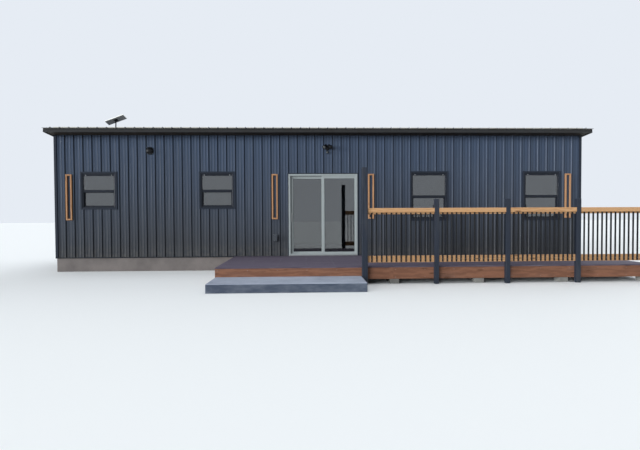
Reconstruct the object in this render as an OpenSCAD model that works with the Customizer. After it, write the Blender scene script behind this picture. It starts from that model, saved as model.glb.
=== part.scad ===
// Tiny house with ribbed metal siding, a low single-slope roof, a sliding patio door
// and a railed porch deck. The origin is the centre of the framed footprint at ground level.
// The front faces -Y, +X runs to the right of someone facing it, and +Z is up.

/* [House shell] */
// Length of the framed shell along X
house_len = 13716; // [12800:1:15500]
// Depth of the framed shell along Y
house_depth = 4877; // [4200:1:6000]
// Height of the front wall above the floor, up to the roof's underside
wall_h = 3145; // [3000:1:3500]
// Thickness of the framed walls
wall_t = 140; // [120:1:200]
// Height of the floor slab above the ground
slab_h = 374; // [280:1:450]
// How far the siding laps down over the slab's edge
siding_lap = 4; // [2:1:60]

/* [Roof] */
// Fall of the roof towards the back, in degrees
roof_pitch = 4.8; // [2:0.1:7]
// Thickness of the insulated roof deck
roof_t = 60; // [50:1:160]
// Overhang of the roof deck at the front and back, along the slope
eave_overhang = 340; // [150:1:450]
// Overhang of the roof deck at the two ends
rake_overhang = 66; // [50:1:300]
// Thickness of the fascia and rake boards
fascia_t = 19; // [15:1:38]
// Thickness of the soffit boards
soffit_t = 12; // [6:1:20]
// How far the fascia and rake boards reach below the soffit
fascia_drop = 21; // [0:1:40]
// Reach of the roof sheet beyond the fascia
sheet_drip = 60; // [30:1:90]

/* [Ribbed sheet] */
// Spacing of the major ribs
rib_pitch = 228.6; // [200:0.1:300]
// Height of a major rib
rib_h = 19; // [15:1:30]
// Width of a major rib at its foot
rib_base = 48; // [40:1:60]
// Width of a major rib at its crest
rib_top = 22; // [15:1:30]
// Height of a minor rib
minor_h = 3; // [1:0.5:5]
// Width of a minor rib at its foot
minor_base = 24; // [16:1:30]
// Width of a minor rib at its crest
minor_top = 12; // [8:1:14]
// Thickness of the folded sheet
sheet_t = 2; // [1:0.5:3]

/* [Trims] */
// Width of a corner trim, measured inwards from the framed corner
corner_leg = 38; // [30:1:60]
// Width of the trim round each window
window_trim = 36; // [20:1:50]
// Width of the trim round the patio door
door_trim = 25; // [15:1:40]
// How far a trim stands proud of the rib crests
trim_proud = 3; // [2:1:6]
// Height of the base flashing's drip lip
flashing_lip = 24; // [8:1:40]

/* [Windows] */
// Width of the frames of the two windows left of the door
short_window_w = 855; // [700:1:980]
// Height of the two windows left of the door
short_window_h = 900; // [800:1:1100]
// Width of the frames of the two windows right of the door
tall_window_w = 945; // [700:1:980]
// Height of the two windows right of the door
tall_window_h = 1234; // [900:1:1300]
// Height of the window heads above the floor
window_head_h = 2161; // [2050:1:2300]
// Distance of the inner windows' trims from the middle of the house
inner_window_x = 2286; // [2000:1:2700]
// Distance of the outer windows' inner trim edges from the ends of the framed shell
outer_window_in = 1554; // [1540:1:1800]
// Width of the frame at the sides of a window
window_side = 42; // [30:1:60]
// Width of the frame at the head of a window
window_top = 70; // [50:1:100]
// Width of the frame at the sill of a window
window_bottom = 36; // [30:1:60]
// Depth of a window frame behind the wall plane
window_depth = 76; // [70:1:100]
// How far a window frame stands out from the wall plane
window_proud = 14; // [8:1:20]
// Height of the meeting rail
meeting_rail_h = 61; // [40:1:70]
// Width of the lower sash's stiles and bottom rail
sash_w = 24; // [20:1:45]
// Thickness of a sash
sash_t = 32; // [26:1:36]
// Distance of the lower sash behind the wall plane
sash_inset = 30; // [24:1:34]
// Thickness of a sealed glass unit
glass_t = 16; // [10:1:20]

/* [Patio door] */
// Width of the patio door's frame
door_w = 1800; // [1500:1:2100]
// Height of the patio door's frame above the floor
door_h = 2127; // [2000:1:2250]
// Width of the door frame's face
door_face = 45; // [35:1:60]
// How far the door frame stands out from the wall plane
door_proud = 24; // [22:1:40]
// Depth of the door frame behind the wall plane
door_depth = 98; // [98:1:120]
// Width of the stiles and the top rail of a door panel
stile_w = 62; // [50:1:80]
// Width of the fixed panel's outer stile, most of which the frame hides
fixed_stile_w = 22; // [15:1:60]
// Height of a door panel's bottom rail
bottom_rail_h = 38; // [30:1:120]
// Thickness of a door panel
panel_t = 36; // [30:1:40]
// Width of the glazing bead round a pane
bead_w = 10; // [6:1:16]
// Clearance round the sliding panel
slide_gap = 5; // [5:1:6]
// Clearance between the sliding panel's faces and the track webs
track_side_gap = 6; // [5:1:8]
// Height of the track webs in the door frame
track_web_h = 15; // [12:1:18]
// Thickness of the track webs
track_web_t = 4; // [3:1:5]
// Length of the pull handle
handle_len = 240; // [180:1:300]
// Diameter of the pull handle's bar
handle_d = 18; // [14:1:20]
// Distance of the bar's middle from the door panel
handle_out = 30; // [24:1:32]
// Height of the pull handle's middle above the floor
handle_h = 990; // [900:1:1100]

/* [Porch deck] */
// Distance of the deck's left end from the middle of the house
deck_left = 2312; // [2000:1:2700]
// Distance of the deck's front from the wall plane
deck_depth = 2438; // [2000:1:2700]
// Gap between the deck and the wall plane
deck_wall_gap = 28; // [27:1:40]
// How far the deck's top lies below the floor
deck_drop = 10; // [6:1:60]
// Number of deck boards
deck_rows = 17; // [14:1:19]
// Gap between deck boards
deck_gap = 6; // [3:1:8]
// Thickness of the deck boards
deck_board_t = 25; // [20:1:32]
// Height of the joists
joist_h = 150; // [120:1:160]
// Thickness of the joists and of the rim
joist_t = 38; // [35:1:45]
// Largest spacing of the joists
joist_pitch = 610; // [400:1:700]
// Thickness of the fascia round the deck
deck_fascia_t = 25; // [19:1:32]
// Height of the fascia round the deck
deck_fascia_h = 236; // [180:1:240]
// Width of a square deck pier
pier_w = 190; // [150:1:250]
// Largest spacing of the deck piers
pier_pitch = 1850; // [1500:1:2000]

/* [Concrete step] */
// Distance of the step's left end from the middle of the house
step_left = 2298; // [1800:1:2310]
// Distance of the step's right end from the middle of the house
step_right = 683; // [500:1:690]
// Height of the step
step_h = 170; // [120:1:190]
// Width of the step's tread in front of the deck
step_tread = 910; // [500:1:1000]
// Width of the bevel along the step's upper edges
step_bevel = 10; // [5:1:20]

/* [Railing] */
// Distance of the tall post's centre from the middle of the house
tall_post_x = 750; // [745:1:1000]
// Distance of the last post's centre from the house's right end
last_post_in = 170; // [0:1:300]
// Number of railing bays
rail_bays = 4; // [3:1:5]
// Width of the tall post
tall_post_w = 112; // [89:1:120]
// Height of the tall post above the deck
tall_post_h = 2030; // [1600:1:2300]
// Width of a railing post
post_w = 89; // [80:1:100]
// Height of the railing posts above the deck
post_h = 1383; // [1320:1:1520]
// Height of the top rail's upper edge above the deck
rail_top_h = 1200; // [1120:1:1260]
// Height of the top rail
top_rail_h = 92; // [70:1:110]
// How far the sub-rail reaches below the top rail
sub_rail_drop = 36; // [20:1:50]
// Thickness of the rails
rail_t = 38; // [30:1:44]
// Height of the bottom rail's upper edge above the deck
bottom_rail_top = 221; // [190:1:290]
// Height of the bottom rail
low_rail_h = 136; // [100:1:160]
// Width of a square baluster
baluster_w = 25; // [19:1:30]
// Wanted spacing of the balusters
baluster_pitch = 96; // [85:1:120]
// Height of the balusters' feet above the bottom rail's lower edge
baluster_foot = 10; // [5:1:40]

/* [Wall frames] */
// Distance of the inner wall frames from the middle, to the nearest pan between ribs
inner_frame_x = 1257; // [1000:1:1700]
// Width of a wall frame
wall_frame_w = 156; // [140:1:170]
// Height of a wall frame
wall_frame_h = 1174; // [900:1:1300]
// Height of a wall frame's lower edge above the floor
wall_frame_z = 954; // [700:1:1100]
// Width of the bars of a wall frame
frame_bar = 38; // [25:1:45]
// Depth of a wall frame
frame_depth = 40; // [30:1:89]

/* [Vent hood] */
// Distance of the vent hood left of the middle, to the nearest pan between ribs
vent_left = 4458; // [3000:1:6000]
// Height of the vent hood's middle above the floor
vent_h = 2730; // [2500:1:2800]
// Diameter of the vent hood's flange
vent_d = 200; // [150:1:220]
// Width of the flange that shows round the hood
vent_rim = 9; // [5:1:20]
// How far the hood bulges out
vent_bulge = 66; // [40:1:72]
// Thickness of the hood
hood_t = 3; // [2:0.5:5]

/* [Floodlight] */
// Distance of the floodlight right of the middle, to the nearest pan between ribs
lamp_right = 114; // [-800:1:800]
// Height of the floodlight's base above the floor
lamp_h = 2799; // [2600:1:2900]
// Diameter of the floodlight's base
lamp_base_d = 115; // [90:1:130]
// Depth of the floodlight's base
lamp_base_t = 36; // [30:1:45]
// Length of a lamp head
lamp_head_len = 118; // [90:1:125]
// Diameter of the rim round a lamp head's lens
lamp_rim_d = 100; // [80:1:105]
// Sideways turn of the lamp heads, in degrees
lamp_turn = 42; // [30:1:50]
// Downward tilt of the lamp heads, in degrees
lamp_tilt = 35; // [20:1:45]
// Diameter of the motion sensor
sensor_d = 62; // [50:1:70]
// Distance of the motion sensor below the base's middle
sensor_drop = 112; // [100:1:130]

/* [Outlet box] */
// Distance of the outlet box from the doorway, to the nearest pan between ribs
outlet_from_door = 357; // [300:1:600]
// Height of the outlet box's middle above the floor
outlet_z = 466; // [300:1:600]
// Width of the outlet box
outlet_w = 128; // [90:1:130]
// Height of the outlet box
outlet_h = 176; // [110:1:190]
// Depth of the outlet box's cover
outlet_cover = 42; // [30:1:60]

/* [Solar panel] */
// Distance of the solar panel's bracket from the left end, to the nearest roof pan
solar_in = 1600; // [900:1:3000]
// Distance of the bracket outwards from the wall plane, along the roof
solar_out = 150; // [80:1:200]
// Length of the solar panel
solar_len = 480; // [350:1:600]
// Width of the solar panel
solar_w = 210; // [150:1:350]
// Thickness of the solar panel
solar_t = 22; // [15:1:35]
// Height of the bracket's mast
solar_mast_h = 270; // [150:1:400]
// Diameter of the bracket's mast
solar_mast_d = 28; // [20:1:36]
// Width of the bracket's two square plates
solar_plate = 90; // [70:1:110]
// Sideways tilt of the solar panel, in degrees
solar_roll = 21; // [0:1:30]
// Backward tilt of the solar panel, in degrees
solar_fall = 15; // [0:1:30]

/* [Hidden] */
// How far a cutting solid reaches past what it cuts
cut = 1;
big = 40000;
half_len = house_len / 2;
half_depth = house_depth / 2;
wall_top = slab_h + wall_h;
line_gap = rib_pitch / 3;
sheet_face = sheet_t + rib_h;
trim_face = sheet_face + trim_proud;
minor_face = sheet_t + minor_h;
siding_z = slab_h - siding_lap;
half_roof = half_len + rake_overhang;
slope_len = house_depth / cos(roof_pitch) + 2 * eave_overhang;
fascia_z = -soffit_t - fascia_drop;
fascia_h = roof_t - fascia_z;
window_head = slab_h + window_head_h;
// Distance of the meeting rail behind the front of the window frame
rail_setback = 10;
sash_gap = 2;
deck_top = slab_h - deck_drop;
deck_under = deck_top - deck_board_t;
pier_h = deck_under - joist_h;
rim_front = deck_depth - deck_fascia_t;
board_w = (deck_depth - deck_wall_gap - (deck_rows - 1) * deck_gap) / deck_rows;
post_spacing = (half_len - last_post_in - tall_post_x) / rail_bays;
door_x = [-door_w / 2 + door_face, door_w / 2 - door_face];
door_z = [slab_h + door_face, slab_h + door_h - door_face];
// Distance of the fixed panel's front outside the wall plane
fixed_front = 8;
fixed_d = [fixed_front - panel_t, fixed_front];
slide_front = fixed_d[0] - track_web_t - 2 * track_side_gap;
slide_d = [slide_front - panel_t, slide_front];
slide_x = [door_x[0] + slide_gap, stile_w / 2];
slide_z = [door_z[0] + slide_gap, door_z[1] - slide_gap];
fixed_x = [-stile_w / 2, door_x[1]];
// Clearance between the door sill's nose and the deck
nose_gap = 5;
// The nose's lower edge also stays above the base flashing
nose_z = max(deck_top + nose_gap, siding_z);
vent_x = -pan_x(vent_left);
vent_z = slab_h + vent_h;
lamp_x = pan_x(lamp_right);
lamp_z = slab_h + lamp_h;
outlet_x = -pan_x(door_w / 2 + outlet_from_door);
outlet_mid = slab_h + outlet_z;
outlet_r = 12;
// The outer wall frames stand between the outer windows and the corners
outer_frame_x = pan_x(half_len - (outer_window_in - tall_window_w - 2 * window_trim) / 2);
solar_x = -round((half_len - solar_in) / rib_pitch) * rib_pitch;
$fn = 48;

// The middle of the siding's pan that is nearest to x
function pan_x(x) = (round(x / rib_pitch - 0.5) + 0.5) * rib_pitch;

// A box on the front wall. d is measured outwards from the wall plane.
module front_box(x, d, z) {
    translate([x[0], -half_depth - d[1], z[0]])
        cube([x[1] - x[0], d[1] - d[0], z[1] - z[0]]);
}

// A rectangular ring on the front wall, with its own left, right, top and bottom widths
module front_ring(x, d, z, left, right, top, bottom) {
    difference() {
        front_box(x, d, z);
        front_box([x[0] + left, x[1] - right], [d[0] - cut, d[1] + cut],
            [z[0] + bottom, z[1] - top]);
    }
}

// Fittings on the front wall are drawn with y up and z out of the wall plane
module on_front(x, z) {
    translate([x, -half_depth, z])
        rotate([90, 0, 0])
            children();
}

// A round rod from one point to another
module rod(from, to, r) {
    v = to - from;
    translate(from)
        rotate([0, acos(v[2] / norm(v)), atan2(v[1], v[0])])
            cylinder(h = norm(v), r = r);
}

// A plate with round corners, centred on the z axis
module round_plate(w, h, t, r) {
    linear_extrude(t) {
        square([w - 2 * r, h], center = true);
        square([w, h - 2 * r], center = true);
        for (x = [-1, 1], y = [-1, 1])
            translate([x * (w / 2 - r), y * (h / 2 - r)])
                circle(r = r);
    }
}

// The cap of a sphere on a round foot
module dome(r, bulge) {
    sphere_r = (r * r + bulge * bulge) / (2 * bulge);
    difference() {
        translate([0, 0, bulge - sphere_r])
            sphere(r = sphere_r);
        translate([-big / 2, -big / 2, -big])
            cube(big);
    }
}

// Everything on the roof is drawn with y down the slope and z square to it
module on_roof() {
    translate([0, -half_depth, wall_top])
        rotate([-roof_pitch, 0, 0])
            children();
}

// All that lies above a plane parallel to the roof's underside
module above_roof(drop = 0) {
    on_roof()
        translate([-big / 2, -big / 2, -drop])
            cube([big, big, big / 2]);
}

// Ribbed sheet

function ridge(x, major) =
    let (foot = (major ? rib_base : minor_base) / 2,
        crest = (major ? rib_top : minor_top) / 2,
        h = major ? rib_h : minor_h)
    [[x - foot, 0], [x - crest, h], [x + crest, h], [x + foot, 0]];

function sheet_line(x0, x1, phase, margin) = concat(
    [[x0, 0]],
    [for (j = [ceil((x0 + margin - phase) / line_gap) : floor((x1 - margin - phase) / line_gap)])
        each ridge(phase + j * line_gap, j % 3 == 0)],
    [[x1, 0]]);

// The sheet's section, with its back on the x axis and its ribs towards +y
module sheet_section(x0, x1, phase, margin) {
    line = sheet_line(x0, x1, phase, margin);
    last = len(line) - 1;
    polygon(concat([for (p = line) p + [0, sheet_t]], [for (i = [last : -1 : 0]) line[i]]));
}

module wall_sheet(half, height) {
    margin = corner_leg + rib_base / 2;
    translate([0, 0, siding_z])
        linear_extrude(height)
            sheet_section(-half, half, 0, margin);
}

// Windows, numbered from left to right

function window_w(n) = n < 3 ? short_window_w : tall_window_w;
function window_h(n) = n < 3 ? short_window_h : tall_window_h;
function window_near(n) = (n == 1 || n == 4 ? half_len - outer_window_in : inner_window_x);
function window_x(n) =
    (n < 3 ? -1 : 1) * (window_near(n) + window_trim + window_w(n) / 2);
function window_xs(n, grow = 0) =
    [window_x(n) - window_w(n) / 2 - grow, window_x(n) + window_w(n) / 2 + grow];
function window_zs(n, grow = 0) = [window_head - window_h(n) - grow, window_head + grow];
function inner_xs(n) = window_xs(n, -window_side);
function meeting_z(n) =
    (window_head - window_top + window_head - window_h(n) + window_bottom) / 2;

// Shell

module foundation_slab() {
    color("darkgray")
        translate([-half_len, -half_depth, 0])
            cube([house_len, house_depth, slab_h]);
}

module front_wall(x) {
    difference() {
        front_box(x, [-wall_t, 0], [slab_h, wall_top + wall_t]);
        above_roof();
        for (n = [1 : 4])
            front_box(window_xs(n), [-wall_t - cut, cut], window_zs(n));
    }
}

module front_wall_left() {
    color("whitesmoke") front_wall([-half_len, -door_w / 2]);
}

module front_wall_right() {
    color("whitesmoke") front_wall([door_w / 2, half_len]);
}

module front_wall_header() {
    color("whitesmoke")
        difference() {
            front_box([-door_w / 2, door_w / 2], [-wall_t, 0],
                [slab_h + door_h, wall_top + wall_t]);
            above_roof();
        }
}

module back_wall() {
    color("whitesmoke")
        difference() {
            translate([-half_len, half_depth - wall_t, slab_h])
                cube([house_len, wall_t, wall_h]);
            above_roof();
        }
}

module end_wall(side) {
    difference() {
        translate([side * (half_len - wall_t / 2) - wall_t / 2, -half_depth + wall_t, slab_h])
            cube([wall_t, house_depth - 2 * wall_t, wall_h]);
        above_roof();
    }
}

module left_wall() {
    color("whitesmoke") end_wall(-1);
}

module right_wall() {
    color("whitesmoke") end_wall(1);
}

// Siding

module front_siding() {
    cut_d = [-cut, trim_face + cut];
    color("#414d60")
        difference() {
            translate([0, -half_depth, 0])
                mirror([0, 1, 0])
                    wall_sheet(half_len, wall_top);
            above_roof(soffit_t);
            for (n = [1 : 4])
                front_box(window_xs(n, window_trim), cut_d, window_zs(n, window_trim));
            front_box([-door_w / 2 - door_trim, door_w / 2 + door_trim], cut_d,
                [siding_z - cut, slab_h + door_h + door_trim]);
            on_front(outlet_x, outlet_mid)
                round_plate(outlet_w, outlet_h, trim_face + cut, outlet_r);
            on_front(vent_x, vent_z)
                cylinder(h = trim_face + cut, d = vent_d);
            on_front(lamp_x, lamp_z)
                cylinder(h = trim_face + cut, d = lamp_base_d);
        }
}

module back_siding() {
    color("#414d60")
        difference() {
            translate([0, half_depth, 0])
                wall_sheet(half_len, wall_top);
            above_roof(soffit_t);
        }
}

module end_siding(side) {
    difference() {
        translate([side * half_len, 0, 0])
            rotate([0, 0, -90 * side])
                wall_sheet(half_depth, wall_top);
        above_roof(soffit_t);
    }
}

module left_siding() {
    color("#414d60") end_siding(-1);
}

module right_siding() {
    color("#414d60") end_siding(1);
}

// A corner trim in plan, drawn for the corner between +x and +y
module corner_section() {
    inset = trim_face - sheet_t;
    difference() {
        union() {
            translate([-corner_leg, sheet_t])
                square([corner_leg + trim_face, inset]);
            translate([sheet_t, -corner_leg])
                square([inset, corner_leg + trim_face]);
        }
        translate([-corner_leg + sheet_t, 0])
            square([corner_leg + trim_face - 2 * sheet_t, trim_face - sheet_t]);
        translate([0, -corner_leg + sheet_t])
            square([trim_face - sheet_t, corner_leg + trim_face - 2 * sheet_t]);
    }
}

module corner_trims() {
    color("#3a4454")
        difference() {
            for (sx = [0, 1], sy = [0, 1])
                mirror([sx, 0, 0])
                    mirror([0, sy, 0])
                        translate([half_len, half_depth, siding_z])
                            linear_extrude(wall_top)
                                corner_section();
            above_roof(soffit_t);
        }
}

module opening_trims() {
    color("#3a4454") {
        for (n = [1 : 4])
            front_ring(window_xs(n, window_trim), [0, trim_face], window_zs(n, window_trim),
                window_trim, window_trim, window_trim, window_trim);
        difference() {
            front_box([-door_w / 2 - door_trim, door_w / 2 + door_trim], [0, trim_face],
                [siding_z, slab_h + door_h + door_trim]);
            front_box([-door_w / 2, door_w / 2], [-cut, trim_face + cut],
                [siding_z - cut, slab_h + door_h]);
        }
    }
}

// A level ring round the house's foot, from the wall plane out to reach
module foot_ring(inner, reach, z) {
    difference() {
        translate([-half_len - reach, -half_depth - reach, z[0]])
            cube([house_len + 2 * reach, house_depth + 2 * reach, z[1] - z[0]]);
        translate([-half_len - inner, -half_depth - inner, z[0] - cut])
            cube([house_len + 2 * inner, house_depth + 2 * inner, z[1] - z[0] + 2 * cut]);
    }
}

module base_flashing() {
    reach = trim_face + sheet_t;
    color("#262b33") {
        foot_ring(0, reach, [siding_z - sheet_t, siding_z]);
        foot_ring(reach - sheet_t, reach, [siding_z - flashing_lip, siding_z - sheet_t / 2]);
    }
}

// Roof

module roof_deck() {
    color("burlywood")
        on_roof()
            translate([-half_roof, -eave_overhang, 0])
                cube([2 * half_roof, slope_len, roof_t]);
}

module roof_sheet() {
    half = half_roof + fascia_t;
    run = slope_len + 2 * (fascia_t + sheet_drip);
    color("#4a5260")
        on_roof()
            translate([0, run - eave_overhang - fascia_t - sheet_drip, roof_t])
                rotate([90, 0, 0])
                    linear_extrude(run)
                        sheet_section(-half, half, rib_pitch / 2, rib_base);
}

module fascia_boards() {
    color("#3c424b")
        on_roof()
            for (y = [-eave_overhang - fascia_t, slope_len - eave_overhang])
                translate([-half_roof, y, fascia_z])
                    cube([2 * half_roof, fascia_t, fascia_h]);
}

module rake_boards() {
    color("#3c424b")
        on_roof()
            for (side = [0, 1])
                mirror([side, 0, 0])
                    translate([half_roof, -eave_overhang - fascia_t, fascia_z])
                        cube([fascia_t, slope_len + 2 * fascia_t, fascia_h]);
}

module soffits() {
    color("#4b4036")
        difference() {
            on_roof()
                translate([-half_roof, -eave_overhang, -soffit_t])
                    cube([2 * half_roof, slope_len, soffit_t]);
            translate([-half_len, -half_depth, 0])
                cube([house_len, house_depth, big]);
        }
}

// Window parts

module window_frame(n) {
    rail = meeting_z(n);
    front_ring(window_xs(n), [-window_depth, window_proud], window_zs(n),
        window_side, window_side, window_top, window_bottom);
    front_box(inner_xs(n), [sash_gap - sash_inset, window_proud - rail_setback],
        [rail - meeting_rail_h / 2, rail + meeting_rail_h / 2]);
}

module window_frames() {
    color("#262d36")
        for (n = [1 : 4])
            window_frame(n);
}

module window_sashes() {
    color("#262d36")
        for (n = [1 : 4])
            front_ring(inner_xs(n), [-sash_inset - sash_t, -sash_inset],
                [window_zs(n)[0] + window_bottom, meeting_z(n) + meeting_rail_h / 2],
                sash_w, sash_w, meeting_rail_h, sash_w);
}

module window_glass() {
    sash_mid = -sash_inset - sash_t / 2;
    color("lightsteelblue", 0.5)
        for (n = [1 : 4]) {
            front_box(inner_xs(n), [-glass_t, 0],
                [meeting_z(n) + meeting_rail_h / 2, window_head - window_top]);
            front_box([inner_xs(n)[0] + sash_w, inner_xs(n)[1] - sash_w],
                [sash_mid - glass_t / 2, sash_mid + glass_t / 2],
                [window_zs(n)[0] + window_bottom + sash_w, meeting_z(n) - meeting_rail_h / 2]);
        }
}

// Patio door

module track_web(d) {
    h = track_web_h;
    front_ring(door_x, [d, d + track_web_t], door_z, h, h, h, h);
}

module patio_door_frame() {
    color("#a9b0ae") {
        front_ring([-door_w / 2, door_w / 2], [-door_depth, door_proud],
            [slab_h, slab_h + door_h], door_face, door_face, door_face, door_face);
        track_web(slide_d[1] + track_side_gap);
        track_web(slide_d[0] - track_side_gap - track_web_t);
        front_box([-door_w / 2, door_w / 2], [0, door_proud],
            [nose_z, slab_h + door_face / 2]);
    }
}

// Stiles and rails, with a slimmer bead round the pane
module door_panel(x, d, z, right) {
    half_bead = bead_w / 2;
    w = bead_w + cut;
    front_ring(x, d, z, stile_w, right, stile_w, bottom_rail_h);
    front_ring([x[0] + stile_w - cut, x[1] - right + cut], [d[0] + half_bead, d[1] - half_bead],
        [z[0] + bottom_rail_h - cut, z[1] - stile_w + cut], w, w, w, w);
}

module door_glass(x, d, z, right) {
    mid = (d[0] + d[1]) / 2;
    front_box([x[0] + stile_w + bead_w, x[1] - right - bead_w],
        [mid - glass_t / 2, mid + glass_t / 2],
        [z[0] + bottom_rail_h + bead_w, z[1] - stile_w - bead_w]);
}

module patio_door_fixed_panel() {
    color("#b4bab8") door_panel(fixed_x, fixed_d, door_z, fixed_stile_w);
}

module patio_door_fixed_glass() {
    color("lightsteelblue", 0.5) door_glass(fixed_x, fixed_d, door_z, fixed_stile_w);
}

module patio_door_sliding_panel() {
    color("#b4bab8") door_panel(slide_x, slide_d, slide_z, stile_w);
}

module patio_door_sliding_glass() {
    color("lightsteelblue", 0.5) door_glass(slide_x, slide_d, slide_z, stile_w);
}

// A pull on a back plate, with y up and z out of the door panel
module pull_handle() {
    plate_t = 4;
    plate_rim = 4;
    half = handle_len / 2;
    bar_end = half - 14;
    post_y = half - handle_d - plate_rim;
    round_plate(handle_d + 2 * plate_rim, handle_len, plate_t, 2 * plate_rim);
    for (end = [-1, 1])
        rod([0, end * post_y, 0], [0, end * post_y, handle_out], handle_d / 2 - 2);
    rod([0, -bar_end, handle_out], [0, bar_end, handle_out], handle_d / 2);
}

module patio_door_handles() {
    x = slide_x[0] + stile_w / 2;
    color("#8d9290")
        on_front(x, slab_h + handle_h) {
            translate([0, 0, slide_d[1]])
                pull_handle();
            translate([0, 0, slide_d[0]])
                mirror([0, 0, 1])
                    pull_handle();
        }
}

// Porch deck

module deck_piers() {
    first = -deck_left + deck_fascia_t;
    last = half_len - deck_fascia_t - pier_w;
    count = ceil((last - first) / pier_pitch);
    color("darkgray")
        for (i = [0 : count], d = [deck_wall_gap + pier_w, rim_front])
            translate([first + i * (last - first) / count, -half_depth - d, 0])
                cube([pier_w, pier_w, pier_h]);
}

module deck_frame() {
    x = [-deck_left + deck_fascia_t, half_len - deck_fascia_t];
    span = x[1] - x[0] - joist_t;
    count = ceil(span / joist_pitch);
    color("peru") {
        for (i = [0 : count])
            front_box([x[0] + i * span / count, x[0] + i * span / count + joist_t],
                [deck_wall_gap, rim_front], [pier_h, deck_under]);
        front_box(x, [deck_wall_gap, deck_wall_gap + joist_t], [pier_h, deck_under]);
        front_box(x, [rim_front - joist_t, rim_front], [pier_h, deck_under]);
    }
}

module deck_boards() {
    color("#4a4450")
        for (i = [0 : deck_rows - 1]) {
            back = deck_wall_gap + i * (board_w + deck_gap);
            front_box([-deck_left, half_len], [back, back + board_w], [deck_under, deck_top]);
        }
}

module deck_fascia() {
    z = [deck_under - deck_fascia_h, deck_under];
    color("#a8693f")
        difference() {
            front_box([-deck_left, half_len], [deck_wall_gap, deck_depth], z);
            front_box([-deck_left + deck_fascia_t, half_len - deck_fascia_t],
                [deck_wall_gap - cut, rim_front], [z[0] - cut, z[1] + cut]);
        }
}

module step_slab() {
    x = [-step_left, step_right];
    d = [deck_depth, deck_depth + step_tread];
    color("#9aa0a8")
        translate([x[0], -half_depth - d[1], 0])
            rotate([90, 0, 90])
                linear_extrude(x[1] - x[0])
                    polygon([[0, 0], [step_tread, 0], [step_tread, step_h],
                        [step_bevel, step_h], [0, step_h - step_bevel]]);
}

// Railing

function post_x(i) = tall_post_x + i * post_spacing;

module tall_post() {
    color("#2f333a")
        front_box([tall_post_x - tall_post_w / 2, tall_post_x + tall_post_w / 2],
            [deck_depth, deck_depth + tall_post_w], [0, deck_top + tall_post_h]);
}

module railing_posts() {
    color("#2f333a")
        for (i = [1 : rail_bays])
            front_box([post_x(i) - post_w / 2, post_x(i) + post_w / 2],
                [deck_depth, deck_depth + post_w], [0, deck_top + post_h]);
}

// One bay of railing: cedar rails between two posts and balusters on their outer face
module railing_panel(i) {
    x = [post_x(i - 1) + (i == 1 ? tall_post_w : post_w) / 2, post_x(i) - post_w / 2];
    mid = deck_depth + post_w / 2;
    back = mid - rail_t;
    top = deck_top + rail_top_h;
    under = top - top_rail_h;
    low = deck_top + bottom_rail_top - low_rail_h;
    count = round((x[1] - x[0]) / baluster_pitch) - 1;
    pitch = (x[1] - x[0] + baluster_w) / (count + 1);
    color("#bc956e") {
        front_box(x, [back, mid], [under - sub_rail_drop, top]);
        front_box(x, [mid, mid + rail_t], [under, top]);
        front_box(x, [back, mid], [low, low + low_rail_h]);
    }
    color("#1d2024")
        for (k = [1 : count])
            front_box([x[0] + k * pitch - baluster_w, x[0] + k * pitch],
                [mid, mid + baluster_w], [low + baluster_foot, under]);
}

module railing_panel_1() {
    railing_panel(1);
}

module railing_panel_2() {
    railing_panel(2);
}

module railing_panel_3() {
    railing_panel(3);
}

module railing_panel_4() {
    railing_panel(4);
}

// Fittings on the front wall

module cedar_wall_frames() {
    z = [slab_h + wall_frame_z, slab_h + wall_frame_z + wall_frame_h];
    color("#b5814f")
        for (side = [-1, 1], mid = [pan_x(inner_frame_x), outer_frame_x])
            front_ring([side * mid - wall_frame_w / 2, side * mid + wall_frame_w / 2],
                [minor_face, minor_face + frame_depth], z,
                frame_bar, frame_bar, frame_bar, frame_bar);
}

// A flange and a domed hood that is open at its lower side
module vent_hood() {
    r = vent_d / 2 - vent_rim;
    color("#1b1d20")
        on_front(vent_x, vent_z) {
            cylinder(h = trim_face, d = vent_d);
            translate([0, 0, trim_face])
                difference() {
                    dome(r, vent_bulge);
                    dome(r - hood_t, vent_bulge - hood_t);
                    translate([-r, -3 * r / 2, -cut])
                        cube([2 * r, r, 2 * r]);
                }
        }
}

// One lamp head, turned round its own axis, with its lens set back in the rim
module lamp_head() {
    rim = lamp_rim_d / 2;
    rotate_extrude()
        polygon([[0, 0], [rim * 0.5, 0], [rim * 0.7, 12], [rim * 0.78, 40],
            [rim - 6, lamp_head_len - 24], [rim, lamp_head_len - 20], [rim, lamp_head_len],
            [rim - 5, lamp_head_len], [rim - 8, lamp_head_len - 10], [0, lamp_head_len - 10]]);
}

module floodlight() {
    base_r = lamp_base_d / 2;
    chamfer = 8;
    arm_r = 9;
    knuckle_r = 20;
    arm_foot_z = lamp_base_t - 12;
    sensor_mid = [0, -sensor_drop, lamp_base_t + 14];
    color("#1b1d20")
        on_front(lamp_x, lamp_z) {
            cylinder(h = lamp_base_t - chamfer, r = base_r);
            translate([0, 0, lamp_base_t - chamfer])
                cylinder(h = chamfer, r1 = base_r, r2 = base_r - chamfer);
            for (side = [-1, 1]) {
                head = [side * 26, base_r + 14, lamp_base_t + 22];
                rod([0, base_r / 2, arm_foot_z], head, arm_r);
                translate(head) {
                    sphere(r = knuckle_r);
                    rotate([lamp_tilt, side * lamp_turn, 0])
                        lamp_head();
                }
            }
            rod([0, -base_r / 2, arm_foot_z], sensor_mid, arm_r);
            translate(sensor_mid)
                sphere(d = sensor_d);
        }
}

// A back box through the siding and a deeper cover in front of it
module outlet_box() {
    lip = 8;
    color("#5b6068")
        on_front(outlet_x, outlet_mid) {
            round_plate(outlet_w, outlet_h, trim_face + lip, outlet_r);
            translate([0, 0, trim_face + lip])
                round_plate(outlet_w - 2 * lip, outlet_h - 2 * lip, outlet_cover, outlet_r);
        }
}

// Solar panel on a short mast near the roof's front edge

module at_solar_foot() {
    on_roof()
        translate([solar_x, -solar_out, roof_t + minor_face])
            children();
}

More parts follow.
